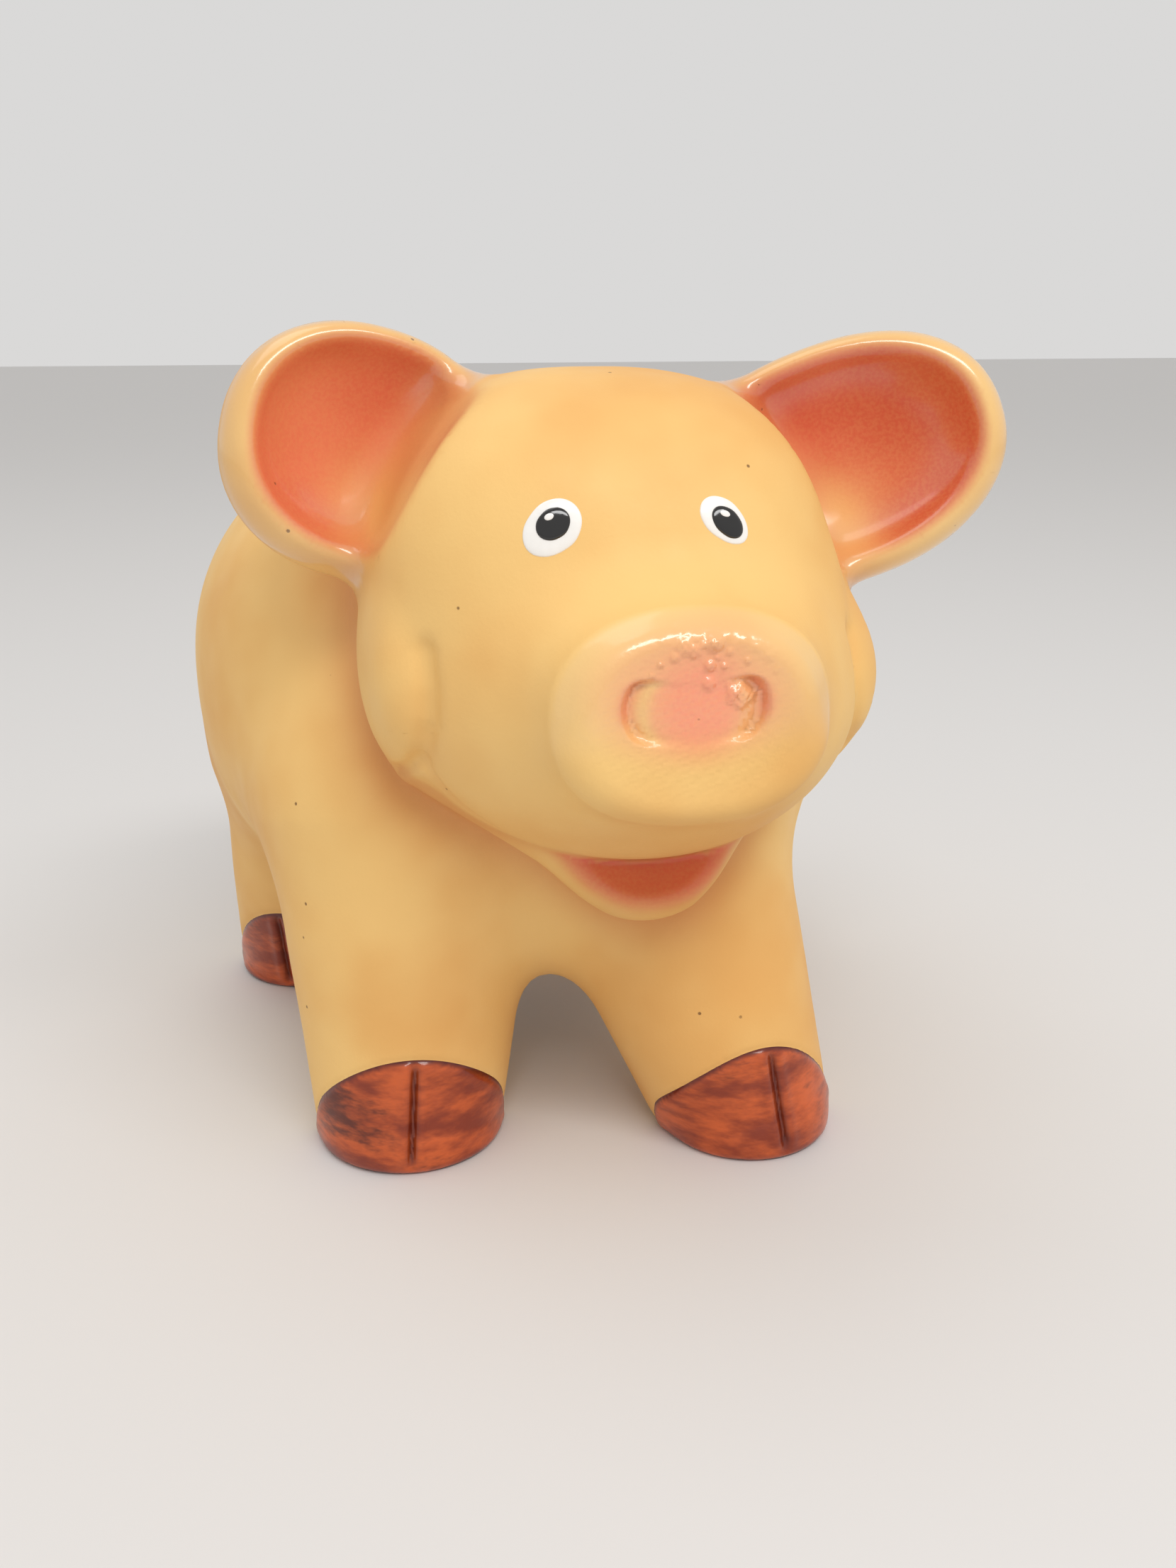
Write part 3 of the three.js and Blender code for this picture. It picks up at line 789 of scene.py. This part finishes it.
def paint_masks(p):
    """How strong the coral, the pink, the lip colour and the creases' warm airbrush tint with painted
    shade are; the coral also holds the painted shade on the nostrils' walls.
    """
    q = in_head(p)
    s = in_snout(q)
    x, z = s[..., 0], s[..., 2]
    coral = np.maximum(ear_paint(p, "right"), ear_paint(p, "left"))
    front = smoothstep(-6, -9, s[..., 1])
    soft = smoothstep(1.12, 0.5, np.hypot((x + 0.7) / 18.6, (z - 4.8) / 12.6))
    strong = smoothstep(1.3, 0.35, np.hypot((x - 0.2) / 8.4, (z - 3.2) / 9.0))
    pink = (0.5 * soft + 0.45 * strong) * front
    for nostril in NOSTRILS:
        inwards, along = nostril_inwards(x, z, nostril)
        ends = smoothstep(5.9, 4.2, np.abs(along))
        # painted shade: each nostril's steep outer wall is coloured a darker coral, most towards its
        # upper end; the strip beside it thins the pink along the nostril's floor
        wall = np.exp(-((inwards / 1.2) ** 2)) * smoothstep(-4.0, 0.0, along)
        strip = np.exp(-(((inwards - 2.9) / 1.3) ** 2)) * (1 if nostril[2] < 0 else 0.4)
        pink = pink * (1 - 0.8 * strip * ends * front)
        coral = np.maximum(coral, 0.75 * wall * ends * front)
    lip = lip_mask(q)
    # warm airbrush tint with painted shade in the creases where the forms meet
    shaded_crease_tint = np.clip(crease_tint_and_shade_mask(p), 0, 1)
    return np.stack([coral, pink, lip, shaded_crease_tint], -1)


def gloss_mask(p):
    """How thick the glaze lies: on the ears' fronts, the snout's face and, thinner, the lower lip."""
    q = in_head(p)
    s = in_snout(q)
    gloss = smoothstep(-6, -9, s[..., 1]) * smoothstep(-9, 6, s[..., 2])
    gloss = np.maximum(gloss, 0.3 * lip_mask(q))
    for side in EARS:
        e = in_ear(q, side)
        on_ear = smoothstep(4.0, 0.5, ear_field(q, side) - casting_field(p))
        facing = smoothstep(2, -3, e[..., 1]) * on_ear
        gloss = np.maximum(gloss, facing)
    return gloss


def crease_tint_and_shade_mask(p):
    """Where two forms meet, near both surfaces at once: a warm airbrush tint with painted shade in the
    neck crease, at the ear roots and along the mouth.
    """
    q = in_head(p)
    b, h = body_field(p), head_field(q)
    neck = np.exp(-((b - h) / 7.0) ** 2) * (np.minimum(b, h) < 2.5)
    roots = sum(np.exp(-((ear_field(q, side) - casting_field(p)) / 4.0) ** 2) for side in EARS)
    mouth = np.exp(-(((jaw_field(q) - muzzle_field(q)) / 1.6) ** 2)) * (np.abs(q[..., 0]) < 44)
    deep = smoothstep(20, 6, np.abs(q[..., 0] - 1))
    return 0.7 * neck + 0.45 * roots + (0.35 + 0.65 * deep) * mouth * (q[..., 1] < -12)


masks = paint_masks(points)
gloss = gloss_mask(points)

# ------------------------------------------------------------ materials


def nodes_of(name):
    m = bpy.data.materials.new(name)
    m.use_nodes = True
    tree = m.node_tree
    return m, tree, tree.nodes["Principled BSDF"]


def link(tree, a, b):
    tree.links.new(a, b)


def add(tree, kind, inputs):
    node = tree.nodes.new(kind)
    for key, value in inputs.items():
        node.inputs[key].default_value = value
    return node


def attribute(tree, name):
    node = tree.nodes.new("ShaderNodeAttribute")
    node.attribute_name = name
    return node.outputs


def surface_point(tree):
    return tree.nodes.new("ShaderNodeTexCoord").outputs["Object"]


def noise(tree, coordinates, scale, detail=2.0, roughness=0.5):
    node = add(tree, "ShaderNodeTexNoise", {"Scale": scale, "Detail": detail, "Roughness": roughness})
    link(tree, coordinates, node.inputs["Vector"])
    return node.outputs["Fac"]


def ramp(tree, value, low, high, out_low=0.0, out_high=1.0):
    ends = {"From Min": low, "From Max": high, "To Min": out_low, "To Max": out_high}
    node = add(tree, "ShaderNodeMapRange", ends)
    node.interpolation_type = "SMOOTHSTEP"
    link(tree, value, node.inputs["Value"])
    return node.outputs["Result"]


def mix(tree, factor, a, b):
    node = tree.nodes.new("ShaderNodeMix")
    node.data_type = "RGBA"
    for socket, value in ((node.inputs[0], factor), (node.inputs[6], a), (node.inputs[7], b)):
        if isinstance(value, (tuple, float, int)):
            socket.default_value = (*value, 1) if isinstance(value, tuple) else value
        else:
            link(tree, value, socket)
    return node.outputs[2]


def math_node(tree, operation, a, b):
    node = tree.nodes.new("ShaderNodeMath")
    node.operation = operation
    for socket, value in zip(node.inputs, (a, b)):
        if isinstance(value, (float, int)):
            socket.default_value = value
        else:
            link(tree, value, socket)
    return node.outputs[0]


def bump(tree, height, distance, strength, onto=None):
    node = add(tree, "ShaderNodeBump", {"Strength": strength, "Distance": distance})
    link(tree, height, node.inputs["Height"])
    if onto is not None:
        link(tree, onto, node.inputs["Normal"])
    return node.outputs["Normal"]


def srgb(*levels):
    """A colour given in levels of 0 to 255, as the linear values that shaders take."""
    shares = [level / 255 for level in levels]
    return tuple(c / 12.92 if c <= 0.04045 else ((c + 0.055) / 1.055) ** 2.4 for c in shares)


YELLOW = srgb(240, 196, 122)
YELLOW_DEEP = srgb(228, 172, 98)
# warm airbrush tint and painted shade for the creases
CREASE_TINT_AND_SHADE = srgb(196, 108, 60)
CORAL = srgb(206, 84, 50)
CORAL_SOFT = srgb(226, 116, 80)
PINK = srgb(246, 150, 112)
LIP = srgb(218, 92, 66)


def painted_plaster():
    m, tree, shader = nodes_of("painted_plaster")
    where = surface_point(tree)
    paint = attribute(tree, "paint")
    parts = tree.nodes.new("ShaderNodeSeparateColor")
    link(tree, paint["Color"], parts.inputs[0])
    # the first channel also carries the painted shade on the nostrils' walls
    coral, pink, lip = parts.outputs
    shaded_crease_tint = paint["Alpha"]
    cloud = noise(tree, where, 22, 3)
    spray = noise(tree, where, 1500, 2)
    base = mix(tree, ramp(tree, cloud, 0.35, 0.7), YELLOW, YELLOW_DEEP)
    # painted shade, with a warm airbrush tint, darkens the creases
    base = mix(tree, math_node(tree, "MULTIPLY", shaded_crease_tint, 0.75), base, CREASE_TINT_AND_SHADE)
    spray_shift = ramp(tree, spray, 0.3, 0.7, -0.06, 0.06)
    soft = mix(tree, ramp(tree, noise(tree, where, 26, 2), 0.35, 0.7), CORAL, CORAL_SOFT)
    for mask, colour in ((coral, soft), (pink, PINK), (lip, LIP)):
        shaken = math_node(tree, "MULTIPLY", math_node(tree, "ADD", spray_shift, 1.0), mask)
        base = mix(tree, math_node(tree, "MINIMUM", shaken, 1.0), base, colour)
    dots = add(tree, "ShaderNodeTexVoronoi", {"Scale": 120})
    link(tree, where, dots.inputs["Vector"])
    pits = ramp(tree, dots.outputs["Distance"], 0.025, 0.05, 1.0, 0.0)
    some = tree.nodes.new("ShaderNodeSeparateColor")
    link(tree, dots.outputs["Color"], some.inputs[0])
    pits = math_node(tree, "MULTIPLY", pits, ramp(tree, some.outputs[0], 0.72, 0.76))
    base = mix(tree, math_node(tree, "MULTIPLY", pits, 0.75), base, srgb(96, 58, 30))
    link(tree, base, shader.inputs["Base Color"])
    glossy = attribute(tree, "gloss")["Fac"]
    shine = ramp(tree, noise(tree, where, 90, 3), 0.3, 0.7, 0.5, 0.62)
    shine = math_node(tree, "SUBTRACT", shine, ramp(tree, glossy, 0.0, 0.6, 0.0, 0.2))
    link(tree, shine, shader.inputs["Roughness"])
    link(tree, ramp(tree, glossy, 0.0, 0.8, 0.0, 0.85), shader.inputs["Coat Weight"])
    shader.inputs["Specular IOR Level"].default_value = 0.35
    shader.inputs["Coat Roughness"].default_value = 0.15
    shader.inputs["Coat IOR"].default_value = 1.75
    grain = bump(tree, spray, 0.0001, 0.3)
    peel = bump(tree, noise(tree, where, 260, 2), 0.0002, 0.35, grain)
    holes = bump(tree, math_node(tree, "MULTIPLY", pits, -1.0), 0.0003, 0.6, peel)
    link(tree, holes, shader.inputs["Normal"])
    return m


def hoof_stain():
    m, tree, shader = nodes_of("hoof_stain")
    where = surface_point(tree)
    strokes = {"Rotation": (0.5, 0.3, 0.2), "Scale": (1.0, 0.7, 2.6)}
    brushed = add(tree, "ShaderNodeMapping", strokes)
    link(tree, where, brushed.inputs["Vector"])
    mottle = noise(tree, brushed.outputs["Vector"], 75, 4, 0.6)
    streak = noise(tree, brushed.outputs["Vector"], 38, 5, 0.65)
    base = mix(tree, ramp(tree, mottle, 0.34, 0.66), srgb(132, 44, 12), srgb(206, 92, 36))
    base = mix(tree, ramp(tree, streak, 0.52, 0.68), base, srgb(92, 28, 8))
    # painted shade: dark lines along the hoof's edge groove and down its cleft
    base = mix(tree, attribute(tree, "rim")["Fac"], base, srgb(88, 22, 8))
    link(tree, base, shader.inputs["Base Color"])
    shader.inputs["Roughness"].default_value = 0.4
    shader.inputs["Specular IOR Level"].default_value = 0.25
    shader.inputs["Coat Weight"].default_value = 0.5
    shader.inputs["Coat Roughness"].default_value = 0.12
    shader.inputs["Coat IOR"].default_value = 1.6
    rough = bump(tree, noise(tree, where, 420, 3), 0.0002, 0.35)
    link(tree, bump(tree, mottle, 0.0004, 0.35, rough), shader.inputs["Normal"])
    return m


def raw_plaster():
    m, tree, shader = nodes_of("raw_plaster")
    where = surface_point(tree)
    cloud = noise(tree, where, 90, 4)
    link(tree, mix(tree, cloud, srgb(214, 200, 178), srgb(188, 170, 146)), shader.inputs["Base Color"])
    shader.inputs["Roughness"].default_value = 0.85
    link(tree, bump(tree, cloud, 0.0006, 0.5), shader.inputs["Normal"])
    return m


def enamel(name, colour, rough):
    m, tree, shader = nodes_of(name)
    where = surface_point(tree)
    tint = noise(tree, where, 500, 2)
    darker = tuple(c * 0.9 for c in colour)
    link(tree, mix(tree, tint, colour, darker), shader.inputs["Base Color"])
    shader.inputs["Roughness"].default_value = rough
    shader.inputs["Coat Weight"].default_value = 0.6
    shader.inputs["Coat Roughness"].default_value = 0.06
    link(tree, bump(tree, noise(tree, where, 900, 2), 0.0001, 0.25), shader.inputs["Normal"])
    return m


def rubber():
    m, tree, shader = nodes_of("stopper_rubber")
    where = surface_point(tree)
    dust = noise(tree, where, 160, 4)
    colour = mix(tree, ramp(tree, dust, 0.4, 0.75), srgb(38, 37, 36), srgb(62, 60, 57))
    link(tree, colour, shader.inputs["Base Color"])
    shader.inputs["Roughness"].default_value = 0.62
    link(tree, bump(tree, noise(tree, where, 1400, 2), 0.00008, 0.4), shader.inputs["Normal"])
    return m


PLASTER = painted_plaster()
STAIN = hoof_stain()
RAW = raw_plaster()
WHITE = enamel("eye_white", srgb(246, 243, 238), 0.28)
BLACK = enamel("eye_black", srgb(14, 12, 11), 0.12)
RUBBER = rubber()

# ------------------------------------------------------------ building the pieces


def mesh_object(name, verts, faces, materials, normals=None, indices=None):
    mesh = bpy.data.meshes.new(name)
    mesh.from_pydata([tuple(v) for v in place(verts)], [], faces)
    mesh.update()
    mesh.polygons.foreach_set("use_smooth", np.ones(len(mesh.polygons), bool))
    for material in materials:
        mesh.materials.append(material)
    if indices is not None:
        mesh.polygons.foreach_set("material_index", np.asarray(indices, np.int32))
    if normals is not None:
        mesh.normals_split_custom_set_from_vertices([tuple(n) for n in normals])
    obj = bpy.data.objects.new(name, mesh)
    bpy.context.scene.collection.objects.link(obj)
    return obj


def point_attribute(mesh, name, kind, values):
    layer = mesh.attributes.new(name, kind, "POINT")
    key = "color" if kind == "FLOAT_COLOR" else "value"
    layer.data.foreach_set(key, np.asarray(values, np.float32).ravel())


def cap_centre(loop):
    """The middle of a cut. Above the legs it is sunk into the casting, where the fan can't show."""
    centre = points[loop].mean(0)
    if centre[2] > 40:
        depth, slope = slope_of(casting_field, centre[None], 0.5)
        sunk = 24.0 if centre[1] < 0 else 6.0
        centre = centre - (slope[0] / np.linalg.norm(slope[0])) * (depth[0] + sunk)
    return centre


def casting_piece(name, own, materials, second=None):
    """The faces of one piece of the casting, closed with a fan over each cut."""
    caps, centres, rings = [], [], []
    for loop in open_loops(own):
        if len(loop) > 2:
            c = len(points) + len(centres)
            centres.append(cap_centre(loop))
            rings.append(loop)
            caps += [[a, b, c] for a, b in zip(loop, loop[1:] + loop[:1])]
    every = np.concatenate([own, padded(caps)])
    verts = np.concatenate([points, np.array(centres).reshape(-1, 3)])
    directions = np.concatenate([normals, np.array([normals[r].mean(0) for r in rings]).reshape(-1, 3)])
    paint = np.concatenate([masks, np.array([masks[r].mean(0) for r in rings]).reshape(-1, 4)])
    shine = np.concatenate([gloss, np.zeros(len(centres))])
    used, back = np.unique(every, return_inverse=True)
    held = used >= 0
    renumber = (back - (~held).sum()).reshape(every.shape)
    compact = [[i for i in row if i >= 0] for row in renumber.tolist()]
    used = used[held]
    index = None
    if second is not None:
        index = np.zeros(len(every), int)
        index[: len(own)] = second
    obj = mesh_object(name + "_form", verts[used], compact, materials, directions[used], index)
    point_attribute(obj.data, "paint", "FLOAT_COLOR", paint[used])
    point_attribute(obj.data, "gloss", "FLOAT", shine[used])
    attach(obj, "bank")
    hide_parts(name)
    return obj, verts[used]


RAW_DEPTH = 6.0  # faces deeper than this are bare plaster

for name, own in pieces.items():
    if name == "body_shell":
        inner = casting_field(corner_mean(points, own)) < -RAW_DEPTH
        casting_piece(name, own, [PLASTER, RAW], inner)
    elif name.endswith("_hoof"):
        leg = name.removesuffix("_hoof")
        obj, verts = casting_piece(name, own, [STAIN])
        # painted shade in the grooves: the stain's edge groove and the cleft are coloured dark
        edge = smoothstep(-1.1, -0.2, hoof_depth(verts, leg))
        x, left = cleft_at(verts, leg)
        line = 0.9 * np.exp(-((x / 0.9) ** 2)) * left
        point_attribute(obj.data, "rim", "FLOAT", np.maximum(edge, line))
    else:
        casting_piece(name, own, [PLASTER])

# ------------------------------------------------------------ painted eyes

DOT_RINGS = [0.0, 0.15, 0.3, 0.45, 0.6, 0.72, 0.82, 0.9, 0.95, 0.98, 1.0]
DOT_SIDES = 72
DOT_SUNK = 0.5  # how far a dot's underside goes into what it lies on


def finished(p):
    return outer_field(p) - relief_field(p)


def paint_dot(name, at, radii, lean, egg, lift, height, material):
    """A low dome of enamel, laid onto the head from the front."""
    y = -112.0
    for _ in range(120):
        y += float(finished(np.array([[at[0], y, at[1]]]))[0])
    middle = np.array([[at[0], y, at[1]]])
    n = slope_of(finished, middle, 0.5)[1][0]
    n /= np.linalg.norm(n)
    right = np.cross([0, 0, 1], n)
    right /= np.linalg.norm(right)
    up = np.cross(n, right)
    c, s = math.cos(math.radians(lean)), math.sin(math.radians(lean))
    count = DOT_SIDES
    verts, faces = [], []
    for ring, share in enumerate(DOT_RINGS):
        steps = 1 if ring == 0 else count
        for i in range(steps):
            angle = 2 * math.pi * i / count
            brush = 1 + egg * math.sin(angle) + 0.012 * math.sin(3 * angle + 1)
            brush += 0.008 * math.sin(7 * angle)
            u = radii[0] * share * math.cos(angle) * brush
            v = radii[1] * share * math.sin(angle)
            verts.append(middle[0] + right * (u * c - v * s) + up * (u * s + v * c))
    verts = np.array(verts)
    ground = settle(finished, verts, 3, 0.3)
    out = slope_of(finished, ground, 0.4)[1]
    out /= np.linalg.norm(out, axis=1, keepdims=True)
    shares = np.array([0.0] + [r for r in DOT_RINGS[1:] for _ in range(count)])
    domed = ground + out * (lift + height * np.sqrt(np.clip(1 - shares**5, 0, 1)))[:, None]
    last = domed[-count:] - out[-count:] * (lift + DOT_SUNK)
    domed = np.concatenate([domed, last, ground[:1] - out[:1] * DOT_SUNK])
    for i in range(count):
        j = (i + 1) % count
        faces.append([0, 1 + i, 1 + j])
        for ring in range(1, len(DOT_RINGS)):
            a, b = 1 + (ring - 1) * count, 1 + ring * count
            faces.append([a + i, b + i, b + j, a + j])
        base = 1 + (len(DOT_RINGS) - 1) * count
        faces.append([base + i, len(domed) - 1, base + j])
    obj = mesh_object(name, domed, faces, [material])
    obj.data.set_sharp_from_angle(angle=math.radians(60))
    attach(obj, "bank")
    return obj


# x and z of the middle, radii and lean of each dot
EYES = {
    "right": {
        "white": (-16.05, 132.4, 4.2, 5.4, -46),
        "pupil": (-15.8, 132.95, 2.5, 3.0, -50),
        "glint": (-16.3, 133.95, 0.55, 0.8, -67),
    },
    "left": {
        "white": (12.95, 132.9, 3.4, 4.9, 44),
        "pupil": (13.25, 132.5, 2.25, 3.2, 40),
        "glint": (12.75, 133.75, 0.55, 0.9, 70),
    },
}
# lift off the head, height, how much fatter the dot is at its top, material, slot
LAYERS = {
    "white": (0.0, 0.4, 0.05, WHITE, "white_enamel"),
    "pupil": (0.35, 0.5, 0.0, BLACK, "black_enamel"),
    "glint": (0.8, 0.15, 0.0, WHITE, "white_enamel"),
}
for side, eye in EYES.items():
    for part, (x, z, across, along, lean) in eye.items():
        lift, height, egg, material, slot_name = LAYERS[part]
        name = f"{side}_eye_{part}"
        dot = paint_dot(name + "_dot", (x, z), (across, along), lean, egg, lift, height, material)
        if part != "glint":
            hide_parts(name)

# ------------------------------------------------------------ stopper


def lathe(profile, centre, segments=96):
    verts, faces = [], []
    for r, z in profile:
        for i in range(segments):
            angle = 2 * math.pi * i / segments
            verts.append((centre[0] + r * math.cos(angle), centre[1] + r * math.sin(angle), z))
    rows = len(profile)
    for k in range(rows):
        a, b = k * segments, (k + 1) % rows * segments
        for i in range(segments):
            j = (i + 1) % segments
            faces.append([a + i, a + j, b + j, b + i])
    return verts, faces


FLANGE_LOW = 29.0
FLANGE_TOP = 31.2

# radius and height of the outline, from the finger dish on the underside outwards
STOPPER_UNDERSIDE = [
    (0.4, 0.9), (5.2, 0.9), (6.0, 0.3), (6.8, 0.05), (8.2, 0.05), (8.8, 0.4), (9.4, 0.7),
    (17.2, 0.6), (17.8, 0.25), (18.6, 0.0), (20.0, 0.0), (20.7, 0.2), (21.0, 0.7),
]
# and on over the flange, up the ribbed plug and down inside it
STOPPER_PLUG = [
    (21.0, -0.5), (20.7, -0.12), (20.2, 0.0), (16.7, 0.0), (16.6, 0.3), (17.0, 2.2), (17.2, 3.0),
    (17.2, 4.3), (16.9, 4.9), (16.6, 5.2), (16.5, 7.0), (16.7, 7.8), (16.7, 8.6), (16.4, 9.2),
    (16.2, 10.6), (15.9, 11.0), (12.9, 11.0), (12.6, 10.7), (12.5, 1.6), (12.1, 1.0), (0.4, 1.0),
]


def stopper():
    outline = [(r, FLANGE_LOW + z) for r, z in STOPPER_UNDERSIDE]
    outline += [(r, FLANGE_TOP + z) for r, z in STOPPER_PLUG]
    verts, faces = lathe(outline, (0, STOPPER_Y))
    obj = mesh_object("stopper_plug", verts, faces, [RUBBER])
    b = bmesh.new()
    b.from_mesh(obj.data)
    bmesh.ops.recalc_face_normals(b, faces=b.faces)
    b.to_mesh(obj.data)
    b.free()
    obj.data.set_sharp_from_angle(angle=math.radians(40))
    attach(obj, "stopper")
    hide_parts("stopper")


stopper()

# ------------------------------------------------------------ floor, light and camera


def floor(reach=6):
    mesh = bpy.data.meshes.new("floor")
    corners = [(-reach, -reach, 0), (reach, -reach, 0), (reach, reach, 0), (-reach, reach, 0)]
    mesh.from_pydata(corners, [], [(0, 1, 2, 3)])
    obj = bpy.data.objects.new("floor", mesh)
    bpy.context.scene.collection.objects.link(obj)
    m, _, shader = nodes_of("pale_floor")
    shader.inputs["Base Color"].default_value = (*srgb(218, 216, 214), 1)
    shader.inputs["Roughness"].default_value = 0.7
    mesh.materials.append(m)


AIM = Vector((0, 0, 0.08))


def area_light(name, at, size, power):
    data = bpy.data.lights.new(name, "AREA")
    data.shape = "RECTANGLE"
    data.size, data.size_y = size
    data.energy = power
    obj = bpy.data.objects.new(name, data)
    obj.location = at
    obj.rotation_euler = (AIM - Vector(at)).to_track_quat("-Z", "Y").to_euler()
    bpy.context.scene.collection.objects.link(obj)


bpy.context.scene.view_settings.view_transform = "Standard"
floor()
area_light("key", (0.15, -0.80, 1.05), (1.1, 0.26), 7.6)
area_light("overhead", (-0.35, 0.25, 1.2), (0.8, 0.8), 2.0)

world = bpy.data.worlds.new("studio")
world.use_nodes = True
background = world.node_tree.nodes["Background"].inputs
background["Color"].default_value = (1, 0.99, 0.98, 1)
background["Strength"].default_value = 0.7
bpy.context.scene.world = world

# the camera looks down on the pig from its front right, as in the photo
YAW, PITCH = math.radians(16), math.radians(18)
CAMERA_AT = [-74.3, -301.5, 164.0]
SENSOR = 36
FOCAL_SHARE = 2000 / 2212  # focal length over the picture's height
camera = bpy.data.cameras.new("camera")
camera.sensor_width = SENSOR
camera.lens = FOCAL_SHARE * SENSOR
camera.clip_start = 0.01
eye = bpy.data.objects.new("camera", camera)
eye.location = Vector(place(CAMERA_AT))
forward = Vector((math.sin(YAW) * math.cos(PITCH), math.cos(YAW) * math.cos(PITCH), -math.sin(PITCH)))
eye.rotation_euler = forward.to_track_quat("-Z", "Y").to_euler()
bpy.context.scene.collection.objects.link(eye)
bpy.context.scene.camera = eye
